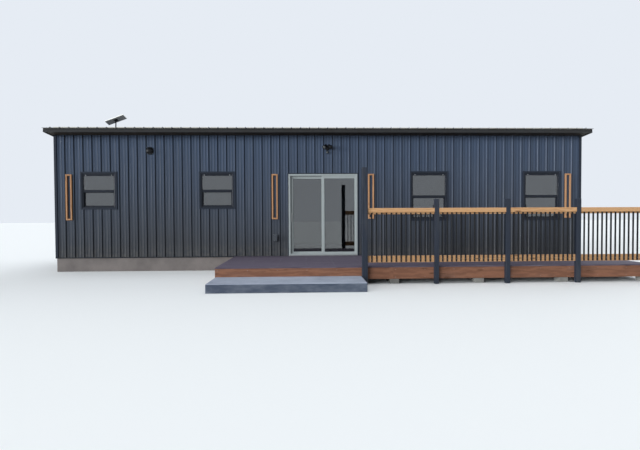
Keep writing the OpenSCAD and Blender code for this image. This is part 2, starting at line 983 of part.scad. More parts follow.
module solar_head() {
    at_solar_foot()
        translate([0, 0, solar_mast_h])
            rotate([roof_pitch - solar_fall, -solar_roll, 0])
                children();
}

module solar_bracket() {
    foot_t = 6;
    head_t = 8;
    knuckle_d = 44;
    knuckle_z = solar_mast_h - 26;
    color("#25282c") {
        at_solar_foot() {
            translate([0, 0, foot_t / 2])
                cube([solar_plate, solar_plate, foot_t], center = true);
            cylinder(h = knuckle_z, d = solar_mast_d);
            translate([0, 0, knuckle_z])
                sphere(d = knuckle_d);
        }
        solar_head()
            translate([0, 0, -head_t / 2])
                cube([solar_plate, solar_plate, head_t], center = true);
    }
}

module solar_panel() {
    color("#c9cccd")
        solar_head()
            translate([-solar_len / 2, -solar_w / 2, 0])
                cube([solar_len, solar_w, solar_t]);
}

foundation_slab();
front_wall_left();
front_wall_right();
front_wall_header();
back_wall();
left_wall();
right_wall();
front_siding();
back_siding();
left_siding();
right_siding();
corner_trims();
opening_trims();
base_flashing();
roof_deck();
roof_sheet();
fascia_boards();
rake_boards();
soffits();
window_frames();
window_sashes();
window_glass();
patio_door_frame();
patio_door_fixed_panel();
patio_door_fixed_glass();
patio_door_sliding_panel();
patio_door_sliding_glass();
patio_door_handles();
deck_piers();
deck_frame();
deck_boards();
deck_fascia();
step_slab();
tall_post();
railing_posts();
railing_panel_1();
railing_panel_2();
railing_panel_3();
railing_panel_4();
cedar_wall_frames();
vent_hood();
floodlight();
outlet_box();
solar_bracket();
solar_panel();
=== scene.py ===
from math import ceil, cos, pi, radians, sin, tan

import bmesh
import bpy
from mathutils import Matrix, Vector


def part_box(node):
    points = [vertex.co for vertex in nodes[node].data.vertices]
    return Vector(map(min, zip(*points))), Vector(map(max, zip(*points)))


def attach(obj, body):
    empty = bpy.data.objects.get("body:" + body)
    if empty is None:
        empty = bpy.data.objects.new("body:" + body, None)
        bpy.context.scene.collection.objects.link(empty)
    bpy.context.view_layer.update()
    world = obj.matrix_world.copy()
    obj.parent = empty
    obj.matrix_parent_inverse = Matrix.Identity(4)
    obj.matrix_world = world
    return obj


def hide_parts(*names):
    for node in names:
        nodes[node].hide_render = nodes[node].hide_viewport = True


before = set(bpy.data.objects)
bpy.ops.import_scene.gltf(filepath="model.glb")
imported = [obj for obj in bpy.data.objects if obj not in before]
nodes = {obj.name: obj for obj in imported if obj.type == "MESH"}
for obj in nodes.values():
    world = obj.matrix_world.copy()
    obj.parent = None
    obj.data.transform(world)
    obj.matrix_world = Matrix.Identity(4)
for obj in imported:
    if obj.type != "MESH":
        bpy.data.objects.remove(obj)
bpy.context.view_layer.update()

# Sizes that the solids share, in metres and degrees
rib_pitch = 0.2286
rib_base = 0.048
panel_cover = 4 * rib_pitch
sheet_t = 0.002
minor_h = 0.003
rib_h = 0.019
trim_face = sheet_t + rib_h + 0.003
roof_pitch = 4.8
wall_top = 3.519
roof_t = 0.06
window_trim = 0.036
door_trim = 0.025
joist_pitch = 0.61
joist_t = 0.038
fascia_t = 0.025
rail_t = 0.038
top_rail_h = 0.092
sub_rail_drop = 0.036
low_rail_h = 0.136
baluster_w = 0.025
baluster_pitch = 0.096
baluster_foot = 0.01
frame_bar = 0.038

# The framed shell: its footprint and the plane of its front wall
shell_low, shell_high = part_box("foundation_slab")
half_len = shell_high.x
half_depth = shell_high.y
slab_h = shell_high.z
front_y = shell_low.y


# Camera, fitted to the ribs, the door and the corners in the photograph
IMAGE_W = 640
FOCAL_PX = 427.4
SENSOR_W = 36
VIEWPOINT = (-0.444, -13.631, 1.419)
VIEW_ANGLES = (88.726, 0.276, -1.852)

camera = bpy.data.objects.new("camera", bpy.data.cameras.new("camera"))
camera.location = VIEWPOINT
camera.rotation_euler = [radians(angle) for angle in VIEW_ANGLES]
camera.data.sensor_width = SENSOR_W
camera.data.lens = SENSOR_W * FOCAL_PX / IMAGE_W
camera.data.clip_end = 200
bpy.context.scene.collection.objects.link(camera)
bpy.context.scene.camera = camera
bpy.context.scene.view_settings.view_transform = "Standard"


# Materials

def rgb(red, green, blue):
    """A display colour, 0 to 255, as the linear colour that a shader takes."""
    def linear(value):
        value /= 255
        return value / 12.92 if value <= 0.04045 else ((value + 0.055) / 1.055) ** 2.4
    return (linear(red), linear(green), linear(blue), 1.0)


class Look:
    """A material that is built up node by node round one Principled shader."""

    def __init__(self, name, rough=0.5, metal=0.0, **fixed):
        self.material = bpy.data.materials.new(name)
        self.material.use_nodes = True
        self.tree = self.material.node_tree
        self.shader = self.tree.nodes["Principled BSDF"]
        self.shader.inputs["Roughness"].default_value = rough
        self.shader.inputs["Metallic"].default_value = metal
        for key, value in fixed.items():
            self.shader.inputs[key.replace("_", " ")].default_value = value
        self.place = self.node("TexCoord").outputs["Object"]

    def feed(self, socket, value):
        if isinstance(value, bpy.types.NodeSocket):
            self.tree.links.new(value, socket)
        else:
            socket.default_value = value

    def node(self, kind, settings=None, **inputs):
        node = self.tree.nodes.new("ShaderNode" + kind)
        for key, value in (settings or {}).items():
            setattr(node, key, value)
        for key, value in inputs.items():
            self.feed(node.inputs[key], value)
        return node

    def attribute(self, name, output):
        return self.node("Attribute", {"attribute_name": name}).outputs[output]

    def stretched(self, scale, place=None):
        """The place scaled by a different number along each axis."""
        mapping = self.node("Mapping", Vector=place or self.place)
        mapping.inputs["Scale"].default_value = scale
        return mapping.outputs["Vector"]

    def axes(self, place=None):
        return self.node("SeparateXYZ", Vector=place or self.place).outputs

    def noise(self, scale, place=None, detail=3.0, rough=0.5):
        node = self.node("TexNoise", Scale=scale, Detail=detail, Roughness=rough)
        self.feed(node.inputs["Vector"], place or self.place)
        return node.outputs["Fac"]

    def random(self, value):
        return self.node("TexWhiteNoise", {"noise_dimensions": "1D"}, W=value).outputs["Value"]

    def math(self, operation, first, second=0.0):
        node = self.node("Math", {"operation": operation})
        self.feed(node.inputs[0], first)
        self.feed(node.inputs[1], second)
        return node.outputs[0]

    def step(self, value, start, end):
        """0 up to start, 1 from end on, and a straight rise between them."""
        node = self.node("MapRange", Value=value)
        node.inputs["From Min"].default_value = start
        node.inputs["From Max"].default_value = end
        return node.outputs["Result"]

    def mix(self, factor, first, second):
        node = self.node("Mix", {"data_type": "RGBA"})
        self.feed(node.inputs[0], factor)
        self.feed(node.inputs[6], first)
        self.feed(node.inputs[7], second)
        return node.outputs[2]

    def over(self, base, mask, strength, colour):
        """base with colour laid over it where mask is 1, at the given strength."""
        return self.mix(self.math("MULTIPLY", mask, strength), base, colour)

    def colour(self, value):
        self.feed(self.shader.inputs["Base Color"], value)

    def rough(self, value, smoothest, roughest):
        """Roughness that follows value between two limits."""
        node = self.node("MapRange", Value=value)
        node.inputs["To Min"].default_value = smoothest
        node.inputs["To Max"].default_value = roughest
        self.feed(self.shader.inputs["Roughness"], node.outputs["Result"])

    def bump(self, height, depth, strength=1.0):
        """Relief of the given depth in metres, over any relief that is there."""
        node = self.node("Bump", Height=height, Distance=depth, Strength=strength)
        links = self.shader.inputs["Normal"].links
        if links:
            self.feed(node.inputs["Normal"], links[0].from_socket)
        self.feed(self.shader.inputs["Normal"], node.outputs["Normal"])


def every(look, value, spacing, width):
    """1 on thin lines that are spacing apart, 0 between them."""
    distance = look.math("PINGPONG", value, spacing / 2)
    return look.math("SUBTRACT", 1.0, look.step(distance, width / 2, width))


# Dark lines along the feet of the ribs, mostly painted shade with a little dirt: the strong line at
# one foot of each major rib is painted shadow of the rib, and the lines by the minor ribs are
# painted shade of their flanks.
# Each row: place from the major rib, half width in metres, and strength
RIB_SHADE_AND_DIRT = ((rib_base / 2 - 0.004, 0.014, 0.94),
            (-rib_base / 2, 0.006, 0.3),
            (rib_pitch / 3 + 0.01, 0.01, 0.38),
            (-rib_pitch / 3 + 0.01, 0.01, 0.38))
COOL_TINT = rgb(38, 46, 58)
RUNNEL = rgb(116, 122, 128)
DUST = rgb(120, 112, 98)
LAP_LINE = rgb(20, 24, 30)
RIB_SHADE = rgb(10, 14, 21)
SCUFF = rgb(120, 124, 128)
SUN_BLEACH = rgb(150, 146, 142)
KNOT = rgb(70, 44, 28)
GRIT = rgb(84, 82, 80)
PIT = rgb(70, 68, 66)
GRIME = rgb(110, 104, 92)


def coated_sheet(name, low, high, across="x", phase=0.0, back=None):
    """Coated steel sheet: panels of slightly different batches, dust low down, faint oil canning.

    low and high are its colours near the ground and near the eaves, and back is its underside.
    The change from low to high with height is painted reflection of the ground below and the sky
    above.
    across is the axis that crosses the ribs, and a major rib stands at phase. One foot of each
    rib, major or minor, gets a dark line that is painted shade with a little dirt.
    """
    look = Look(name, rough=0.4, Specular_IOR_Level=0.2)
    x, y, z = look.axes()
    along = {"x": x, "y": y}[across]
    batch = look.random(look.math("FLOOR", look.math("DIVIDE", along, panel_cover)))
    cloud = look.noise(0.7, detail=2)
    streaks = look.noise(1.0, look.stretched((26, 26, 0.7)), detail=4)
    # Painted reflection: greyer near the ground and bluer towards the eaves, standing in for ground
    # and sky reflected in the coat
    height = look.math("ADD", z, look.math("MULTIPLY", cloud, 0.8))
    base = look.mix(look.step(height, 1.0, 3.6), low, high)
    base = look.over(base, batch, 0.14, COOL_TINT)
    base = look.over(base, look.step(streaks, 0.52, 0.8), 0.16, RUNNEL)
    specks = look.step(look.noise(9, detail=6), 0.35, 0.7)
    dust = look.math("MULTIPLY", look.step(z, 0.75, 0.26), specks)
    base = look.over(base, dust, 0.28, DUST)
    lap = every(look, look.math("ADD", along, 0.011), panel_cover, 0.0012)
    base = look.over(base, lap, 0.6, LAP_LINE)
    ahead = look.math("ADD", along, rib_pitch / 2 - phase)
    from_rib = look.math("SUBTRACT", look.math("FLOORED_MODULO", ahead, rib_pitch), rib_pitch / 2)
    # Painted shade with a little dirt: a dark line beside one foot of each rib
    for foot, width, strength in RIB_SHADE_AND_DIRT:
        away = look.math("ABSOLUTE", look.math("SUBTRACT", from_rib, foot))
        base = look.over(base, look.step(away, width, 0.5 * width), strength, RIB_SHADE)
    if back:
        normal = look.node("NewGeometry").outputs["True Normal"]
        under = look.step(look.axes(normal)[2], -0.2, -0.5)
        base = look.mix(under, base, back)
    look.colour(base)
    look.rough(look.noise(5, detail=5), 0.34, 0.5)
    look.bump(look.noise(1.0, look.stretched((4.2, 4.2, 1.6)), detail=1), 0.0022)
    look.bump(look.noise(900, detail=2), 0.00006)
    return look.material


def coated_trim(name, base, darker, wear=0.14):
    """Folded or cast metal with a satin coat."""
    look = Look(name, rough=0.42, Specular_IOR_Level=0.25)
    cloud = look.noise(3, detail=4)
    worn = look.step(look.noise(60, detail=5), 0.6, 0.75)
    tone = look.mix(cloud, base, darker)
    look.colour(look.over(tone, worn, wear, SCUFF))
    look.rough(look.noise(12, detail=5), 0.36, 0.54)
    look.bump(look.noise(700, detail=2), 0.00008)
    return look.material


def timber(name, light, dark, axis=None, rough=(0.55, 0.8), knots=True, fade=0.25):
    """Sawn timber. Grain runs along the board that a point belongs to, or along axis."""
    look = Look(name, Specular_IOR_Level=0.3)
    if axis is None:
        place = look.attribute("grain", "Vector")
        tone = look.attribute("tone", "Fac")
    else:
        x, y, z = look.axes()
        order = {"x": (x, y, z), "y": (y, x, z), "z": (z, x, y)}[axis]
        place = look.node("CombineXYZ", X=order[0], Y=order[1], Z=order[2]).outputs[0]
        tone = look.noise(0.6, detail=1)
    warp = look.noise(1.0, look.stretched((1.3, 6, 6), place), detail=2)
    bent = look.node("VectorMath", {"operation": "MULTIPLY_ADD"})
    look.feed(bent.inputs[0], look.node("CombineXYZ", Y=warp, Z=warp).outputs[0])
    bent.inputs[1].default_value = (0.05, 0.05, 0.05)
    look.feed(bent.inputs[2], place)
    rings = look.node("TexWave", {"wave_type": "RINGS", "rings_direction": "X"}, Scale=22.0,
                      Distortion=3.0, Detail=2.0)
    look.feed(rings.inputs["Vector"], look.stretched((0.25, 1, 1), bent.outputs[0]))
    fibres = look.noise(1.0, look.stretched((9, 320, 320), place), detail=5, rough=0.6)
    stain = look.noise(1.0, look.stretched((1.1, 9, 9), place), detail=4)
    grain = look.math("ADD", look.math("MULTIPLY", rings.outputs["Fac"], 0.45),
                      look.math("MULTIPLY", fibres, 0.55))
    base = look.mix(look.step(grain, 0.25, 0.8), light, dark)
    base = look.over(base, tone, 0.45, dark)
    base = look.over(base, look.step(stain, 0.5, 0.85), fade, SUN_BLEACH)
    if knots:
        cells = look.node("TexVoronoi", Scale=1.0)
        look.feed(cells.inputs["Vector"], look.stretched((1.7, 9, 9), place))
        base = look.over(base, look.step(cells.outputs["Distance"], 0.16, 0.07), 0.75, KNOT)
    look.colour(base)
    look.rough(fibres, *rough)
    look.bump(grain, 0.0007)
    return look.material


def concrete(name, light, dark, broom=None, side=None):
    """Cast concrete with pits and damp patches.

    broom stretches the noise into broom lines. side is the pair of colours of its upright faces,
    darker and bluer than the top as painted shade with run stains in it.
    """
    look = Look(name, rough=0.85)
    patches = look.step(look.noise(2.2, detail=6, rough=0.6), 0.3, 0.75)
    grit = look.noise(260, detail=4)
    pits = look.step(look.node("TexVoronoi", Scale=70.0).outputs["Distance"], 0.16, 0.05)
    base = look.mix(patches, light, dark)
    if side:
        # Upright faces take the side colours: painted shade, with run stains
        upward = look.axes(look.node("NewGeometry").outputs["True Normal"])[2]
        runs = look.noise(1.0, look.stretched((3, 3, 9)), detail=6, rough=0.65)
        runs_and_shade = look.mix(look.step(runs, 0.4, 0.62), *side)
        base = look.mix(look.step(upward, 0.75, 0.35), base, runs_and_shade)
    base = look.over(base, grit, 0.25, GRIT)
    base = look.over(base, pits, 0.4, PIT)
    look.colour(base)
    look.bump(grit, 0.0012)
    look.bump(look.math("SUBTRACT", 1.0, pits), 0.0015, 0.6)
    if broom:
        look.bump(look.noise(1.0, look.stretched(broom), detail=2), 0.0014)
    return look.material


def moulded(name, base, rough, grime=GRIME, amount=0.2, gloss=0.5):
    """Vinyl or plastic with a fine moulded skin and a little grime in patches."""
    look = Look(name, rough=rough, Specular_IOR_Level=gloss)
    dirt = look.step(look.noise(7, detail=7, rough=0.65), 0.48, 0.8)
    look.colour(look.over(base, dirt, amount, grime))
    look.rough(look.noise(20, detail=4), rough - 0.06, rough + 0.1)
    look.bump(look.noise(420, detail=2), 0.00008)
    return look.material


def brushed(name, base, rough=0.34, axis=(6, 6, 900)):
    """Bare metal with fine brush lines."""
    look = Look(name, rough=rough, metal=1.0)
    lines = look.noise(1.0, look.stretched(axis), detail=3)
    look.colour(look.over(base, lines, 0.4, rgb(120, 122, 124)))
    look.rough(lines, rough - 0.08, rough + 0.14)
    look.bump(lines, 0.00006)
    return look.material


def pane_glass(name, tint):
    """Coated glass with faint smears."""
    look = Look(name, rough=0.02, IOR=1.5, Transmission_Weight=1.0, Coat_Weight=1.0,
                Coat_Roughness=0.02, Coat_IOR=1.8)
    look.shader.inputs["Base Color"].default_value = tint
    smears = look.noise(1.0, look.stretched((2.5, 2.5, 1.2)), detail=5)
    look.rough(look.step(smears, 0.5, 0.8), 0.01, 0.05)
    look.bump(look.noise(1.3, detail=1), 0.0006)
    return look.material


def solar_cells(name):
    """Dark blue cells with a smooth, glassy surface."""
    look = Look(name, rough=0.12)
    look.colour(look.mix(look.noise(5, detail=2), rgb(20, 28, 56), rgb(30, 42, 78)))
    return look.material


# The siding's low and high colours differ by painted reflection: greyer near the ground, bluer near
# the eaves
SIDING_LOW, SIDING_HIGH = rgb(60, 62, 66), rgb(66, 78, 97)
ROOF_COAT = rgb(60, 66, 76)
PALE_BACK = rgb(240, 238, 232)

siding_look = coated_sheet("siding_coat", SIDING_LOW, SIDING_HIGH)
end_siding_look = coated_sheet("end_siding_coat", SIDING_LOW, SIDING_HIGH, "y")
roof_look = coated_sheet("roof_coat", ROOF_COAT, ROOF_COAT, phase=rib_pitch / 2, back=PALE_BACK)
trim_look = coated_trim("trim_coat", rgb(37, 43, 54), rgb(31, 36, 45), 0.08)
flashing_look = coated_trim("flashing_coat", rgb(33, 36, 42), rgb(24, 26, 31))
fascia_look = coated_trim("fascia_coat", rgb(45, 47, 49), rgb(41, 38, 35), 0.06)
black_look = coated_trim("black_coat", rgb(17, 19, 23), rgb(11, 12, 15), 0.05)
lining_look = moulded("wall_paint", rgb(206, 205, 200), 0.8)
vinyl_look = moulded("dark_vinyl", rgb(28, 32, 40), 0.42, rgb(60, 60, 60), 0.12, 0.25)
door_look = moulded("white_vinyl", rgb(152, 158, 157), 0.35, gloss=0.35)
rubber_look = moulded("rubber", rgb(17, 18, 20), 0.7, rgb(60, 58, 56), gloss=0.2)
outlet_look = moulded("outlet_plastic", rgb(62, 66, 72), 0.45, gloss=0.3)
lens_look = moulded("frosted_lens", rgb(74, 76, 76), 0.25, rgb(60, 58, 54), 0.2)
glass_look = pane_glass("coated_glass", rgb(150, 160, 164))
cell_look = solar_cells("solar_cells")
metal_look = brushed("satin_metal", rgb(190, 190, 188))
back_sheet_look = moulded("back_sheet", PALE_BACK, 0.5)
sheet_back_look = coated_trim("sheet_back", rgb(204, 199, 186), rgb(186, 180, 166), 0.06)
zinc_look = brushed("zinc_screws", rgb(176, 178, 180), 0.4, (300, 300, 300))
soffit_look = timber("soffit_boards", rgb(58, 48, 38), rgb(34, 27, 21), "y", knots=False,
                     fade=0.1)
core_look = timber("roof_core", rgb(190, 164, 124), rgb(150, 120, 84), "y")
framing_look = timber("deck_framing", rgb(150, 124, 90), rgb(108, 84, 58), "x")
deck_look = timber("deck_stain", rgb(106, 97, 110), rgb(70, 64, 76), knots=False, fade=0.15)
fascia_wood_look = timber("deck_cedar", rgb(134, 93, 72), rgb(110, 75, 58), fade=0.1)
cedar_look = timber("rail_cedar", rgb(214, 172, 128), rgb(176, 130, 88), fade=0.14)
frame_cedar_look = timber("frame_cedar", rgb(190, 146, 108), rgb(152, 108, 74), fade=0.12)
post_look = timber("painted_post", rgb(43, 49, 61), rgb(32, 37, 46), "z", rough=(0.45, 0.65),
                   knots=False, fade=0.12)
slab_look = concrete("slab_concrete", rgb(130, 122, 118), rgb(102, 96, 93))
pier_look = concrete("pier_concrete", rgb(150, 148, 142), rgb(112, 110, 106))
# The step's upright faces are darker and bluer than its top: painted shade with run stains
step_look = concrete("step_concrete", rgb(172, 179, 193), rgb(142, 149, 164), (8, 400, 8),
                     side=(rgb(66, 76, 93), rgb(98, 106, 120)))


# Shapes, as points and faces in metres

def eased_box(low, high, ease):
    """A box whose edges and corners are cut back by ease."""
    points = []
    for corner in range(8):
        side = [(corner >> axis) & 1 for axis in range(3)]
        for face_axis in range(3):
            points.append(tuple(
                (low, high)[side[a]][a] + (0 if a == face_axis else (ease, -ease)[side[a]])
                for a in range(3)))
    faces = [[3 * corner + a for a in range(3)] for corner in range(8)]
    for a in range(3):
        b, c = (a + 1) % 3, (a + 2) % 3
        for s in (0, 1):
            loop = [(s << a) | (i << b) | (j << c) for i, j in ((0, 0), (1, 0), (1, 1), (0, 1))]
            faces.append([3 * corner + a for corner in loop])
            for t in (0, 1):
                start = (s << b) | (t << c)
                end = start | (1 << a)
                faces.append([3 * start + b, 3 * start + c, 3 * end + c, 3 * end + b])
    return points, faces


def turned(profile, sides=16):
    """A profile of (radius, height) pairs turned round z. It starts and ends on the axis."""
    points, rings = [], []
    for radius, height in profile:
        if radius == 0:
            rings.append([len(points)] * sides)
            points.append((0, 0, height))
        else:
            rings.append([len(points) + i for i in range(sides)])
            points += [(radius * cos(2 * pi * i / sides), radius * sin(2 * pi * i / sides), height)
                       for i in range(sides)]
    faces = []
    for lower, upper in zip(rings, rings[1:]):
        for i in range(sides):
            j = (i + 1) % sides
            loop = [lower[i], lower[j], upper[j], upper[i]]
            faces.append(sorted(set(loop), key=loop.index))
    return points, faces


def moved(shape, matrix):
    return [tuple(matrix @ Vector(p)) for p in shape[0]], shape[1]


def mitred_ring(profile, x, z, sill=1.0):
    """Four members round a rectangle on the front wall, with mitred corners.

    profile is a closed outline of (distance in from the edge, distance out of the wall plane).
    sill is the width of the lowest member relative to the others.
    """
    seam = 0.0002
    corners = [(x[0], z[0], 1, 1), (x[1], z[0], -1, 1), (x[1], z[1], -1, -1), (x[0], z[1], 1, -1)]
    members = []
    for start, end in zip(corners, corners[1:] + corners[:1]):
        along = Vector((end[0] - start[0], 0, end[1] - start[1])).normalized() * seam
        points = []
        for (cx, cz, dx, dz), shift in ((start, along), (end, -along)):
            rise = sill if dz > 0 else -1
            points += [tuple(Vector((cx + dx * inset, front_y - out, cz + rise * inset)) + shift)
                       for inset, out in profile]
        count = len(profile)
        faces = [list(range(count)), list(range(count, 2 * count))]
        faces += [[i, (i + 1) % count, count + (i + 1) % count, count + i] for i in range(count)]
        members.append((points, faces))
    return members


# Frames that shapes are placed in

def outwards(x, z, out):
    """A frame at a distance out of the front wall, its z axis outwards and its y axis up."""
    return Matrix.Translation((x, front_y - out, z)) @ Matrix.Rotation(pi / 2, 4, "X")


def on_roof(x, run, lift):
    """A frame at a height over the roof's plane, its z axis square to it, its y axis downhill."""
    fall = Matrix.Rotation(radians(-roof_pitch), 4, "X")
    return Matrix.Translation((0, front_y, wall_top)) @ fall @ Matrix.Translation((x, run, lift))


# Pieces

def chance(*seed):
    """A number from 0 to 1 that depends only on the seed."""
    value = sin(sum(s * k for s, k in zip(seed, (12.9898, 78.233, 37.719)))) * 43758.5453
    return value - int(value) if value > 0 else value - int(value) + 1


# How far apart two boards' grain lies when their tones are 0 and 1
GRAIN_SHIFT = 11.7


class Piece:
    """One mesh, gathered from shapes, with a grain direction and a tone for each board."""

    def __init__(self):
        self.points = []
        self.faces = []
        self.slots = []
        self.grain = []
        self.tones = []

    def add(self, shape, slot=0, axis=0, tone=0.5):
        points, faces = shape
        start = len(self.points)
        shift = GRAIN_SHIFT * tone
        self.points += points
        self.faces += [[start + i for i in face] for face in faces]
        self.slots += [slot] * len(faces)
        for p in points:
            self.grain += [p[axis] + shift, p[(axis + 1) % 3] + shift, p[(axis + 2) % 3]]
        self.tones += [tone] * len(points)

    def board(self, low, high, ease=0.003, slot=0, seed=0):
        """A board with eased edges, its grain along its longest side."""
        size = [h - l for l, h in zip(low, high)]
        self.add(eased_box(low, high, ease), slot, size.index(max(size)),
                 chance(seed, low[0], low[2] + low[1]))

    def make(self, name, looks, slot_name, body="house", replaced=(), smooth=False):
        mesh = bpy.data.meshes.new(name)
        mesh.from_pydata(self.points, [], self.faces)
        mesh.attributes.new("grain", "FLOAT_VECTOR", "POINT").data.foreach_set("vector", self.grain)
        mesh.attributes.new("tone", "FLOAT", "POINT").data.foreach_set("value", self.tones)
        mesh.polygons.foreach_set("material_index", self.slots)
        solid = bmesh.new()
        solid.from_mesh(mesh)
        bmesh.ops.recalc_face_normals(solid, faces=solid.faces)
        solid.to_mesh(mesh)
        solid.free()
        mesh.polygons.foreach_set("use_smooth", [smooth] * len(mesh.polygons))
        for look in looks:
            mesh.materials.append(look)
        piece = bpy.data.objects.new(name, mesh)
        bpy.context.scene.collection.objects.link(piece)
        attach(piece, body)
        if replaced:
            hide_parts(*replaced)


def solids(node):
    """The box of each separate solid in a CAD node, as (lowest, highest) corners, sorted by x."""
    mesh = bmesh.new()
    mesh.from_mesh(nodes[node].data)
    bmesh.ops.remove_doubles(mesh, verts=mesh.verts, dist=1e-5)
    left = set(mesh.verts)
    boxes = []
    while left:
        group = [left.pop()]
        for vert in group:
            near = {edge.other_vert(vert) for edge in vert.link_edges} & left
            left -= near
            group += near
        boxes.append(tuple(Vector(pick(v.co[a] for v in group) for a in range(3))
                           for pick in (min, max)))
    mesh.free()
    return sorted(boxes, key=lambda box: (box[0].x, box[0].z))


# Finish of the solids that keep their shape

def dress(look, *names, soften=0.0):
    """Gives CAD nodes a material and, where soften is set, slightly rounded edges."""
    for name in names:
        piece = nodes[name]
        for material_slot in piece.material_slots:
            material_slot.material = look
        if soften:
            weld = piece.modifiers.new("weld", "WELD")
            weld.merge_threshold = 1e-5
            bevel = piece.modifiers.new("soften", "BEVEL")
            bevel.width = soften
            bevel.segments = 2
            bevel.limit_method = "ANGLE"
            bevel.angle_limit = radians(35)


dress(slab_look, "foundation_slab", soften=0.004)
dress(lining_look, "front_wall_left", "front_wall_right", "front_wall_header", "back_wall",
      "left_wall", "right_wall")
dress(siding_look, "front_siding", "back_siding")
dress(end_siding_look, "left_siding", "right_siding")
dress(trim_look, "corner_trims", "opening_trims", soften=0.0009)
dress(flashing_look, "base_flashing")
dress(core_look, "roof_deck")
dress(roof_look, "roof_sheet")
dress(fascia_look, "fascia_boards", "rake_boards", soften=0.002)
dress(soffit_look, "soffits")
dress(vinyl_look, "window_sashes", soften=0.002)
dress(glass_look, "window_glass", "patio_door_fixed_glass", "patio_door_sliding_glass")
dress(door_look, "patio_door_frame", "patio_door_fixed_panel", "patio_door_sliding_panel",
      soften=0.0015)
dress(metal_look, "patio_door_handles")
dress(pier_look, "deck_piers", soften=0.006)
dress(framing_look, "deck_frame", soften=0.003)
dress(step_look, "step_slab", soften=0.006)
dress(post_look, "tall_post", "railing_posts", soften=0.005)
dress(black_look, "vent_hood", "floodlight", "solar_bracket")
dress(outlet_look, "outlet_box", soften=0.0015)
dress(back_sheet_look, "solar_panel", soften=0.0015)


# Windows

window_boxes = solids("window_frames")
pane_boxes = solids("window_glass")


def window_frames():
    """Mitred vinyl frames with a sloping bead, a head board and a meeting rail with a lip."""
    side, top, bottom, depth, proud = 0.042, 0.07, 0.036, 0.076, 0.014
    head_proud, half_rail = 0.009, 0.0305
    rail_y = (front_y - 0.004, front_y + 0.028)
    lip_y, lip_z = (front_y - 0.008, front_y - 0.003), (-0.006, 0.012)
    profile = [(0, -depth), (0, proud - 0.002), (0.002, proud), (0.027, proud),
               (0.029, proud - 0.005), (0.038, 0.004), (side, 0.003), (side, -depth)]
    piece = Piece()
    for n, (low, high) in enumerate(window_boxes):
        for k, member in enumerate(mitred_ring(profile, (low.x, high.x), (low.z, high.z),
                                               bottom / side)):
            piece.add(member, tone=chance(n, k))
        left, right = low.x + side, high.x - side
        rail = (high.z - top + low.z + bottom) / 2
        piece.board((left, front_y - head_proud, high.z - top),
                    (right, front_y + depth, high.z - side), 0.002, seed=n)
        piece.board((left, rail_y[0], rail - half_rail), (right, rail_y[1], rail + half_rail),
                    0.003, seed=n + 4)
        piece.board((left, lip_y[0], rail + lip_z[0]), (right, lip_y[1], rail + lip_z[1]), 0.0015,
                    seed=n + 8)
    piece.make("window_frame_members", [vinyl_look], "window_frame", replaced=["window_frames"])


def gaskets(name, boxes, body):
    """A rubber strip round each pane, on its outer face."""
    piece = Piece()
    for low, high in boxes:
        face = front_y - low.y
        profile = [(-0.001, face - 0.002), (-0.001, face + 0.0015), (0.003, face + 0.002),
                   (0.006, face + 0.0002), (0.006, face - 0.002)]
        for member in mitred_ring(profile, (low.x, high.x), (low.z, high.z)):
            piece.add(member)
    piece.make(name, [rubber_look], "window_frame", body)


def pan_head(wide=1.0, tall=1.0, sides=10):
    """A small round screw head, its usual size times wide across and times tall in height."""
    profile = [(0, 0.0025), (0.0028, 0.0022), (0.0042, 0.0008), (0.0045, 0), (0, 0)]
    return turned([(wide * r, tall * h) for r, h in profile], sides)


def window_screws():
    """Two pale screw heads on each head board, near its ends."""
    inset, drop, proud = 0.1, 0.056, 0.009
    piece = Piece()
    for low, high in window_boxes:
        for x in (low.x + inset, high.x - inset):
            piece.add(moved(pan_head(3, 2, 12), outwards(x, high.z - drop, proud)))
    piece.make("window_screws", [zinc_look], "handle_metal", smooth=True)


window_frames()
gaskets("window_gaskets", pane_boxes, "house")
window_screws()


# Patio door

def door_details():
    """Gaskets round the panes, a strip on the sill's nose and three ridges on its top."""
    gaskets("fixed_pane_gasket", solids("patio_door_fixed_glass"), "house")
    gaskets("sliding_pane_gasket", solids("patio_door_sliding_glass"), "door_panel")
    low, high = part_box("patio_door_frame")
    nose_inset, nose_y, nose_z = 0.004, (-0.0285, -0.0235), (-0.012, 0.018)
    ridge_inset, ridge_w, ridge_z = 0.05, 0.003, (0.044, 0.0475)
    sill = Piece()
    sill.board((low.x + nose_inset, front_y + nose_y[0], slab_h + nose_z[0]),
               (high.x - nose_inset, front_y + nose_y[1], slab_h + nose_z[1]), 0.001)
    for out in (0.004, 0.011, 0.018):
        sill.board((low.x + ridge_inset, front_y - out - ridge_w, slab_h + ridge_z[0]),
                   (high.x - ridge_inset, front_y - out, slab_h + ridge_z[1]), 0.0008)
    sill.make("door_sill_strips", [metal_look], "handle_metal")


door_details()


# Screws with a washer and a hexagonal head, on the siding and the roof

HEX_SCREW = turned([(0, 0.0068), (0.0042, 0.0066), (0.0048, 0.0058), (0.0048, 0.002),
                    (0.0078, 0.0016), (0.008, 0.0002), (0.008, 0), (0, 0)], 6)
# Heights of the rows of screws above the foot of the siding
SCREW_ROWS = (0.06, 0.67, 1.28, 1.89, 2.5, 3.08)
ROOF_ROW_GAP = 0.61
BESIDE_RIB = rib_base / 2 + 0.012


def covered(x, z, areas):
    """Whether one of the (left, right, lowest, highest) areas on the front wall reaches a point."""
    margin = 0.012
    return any(left - margin < x < right + margin and low - margin < z < high + margin
               for left, right, low, high in areas)


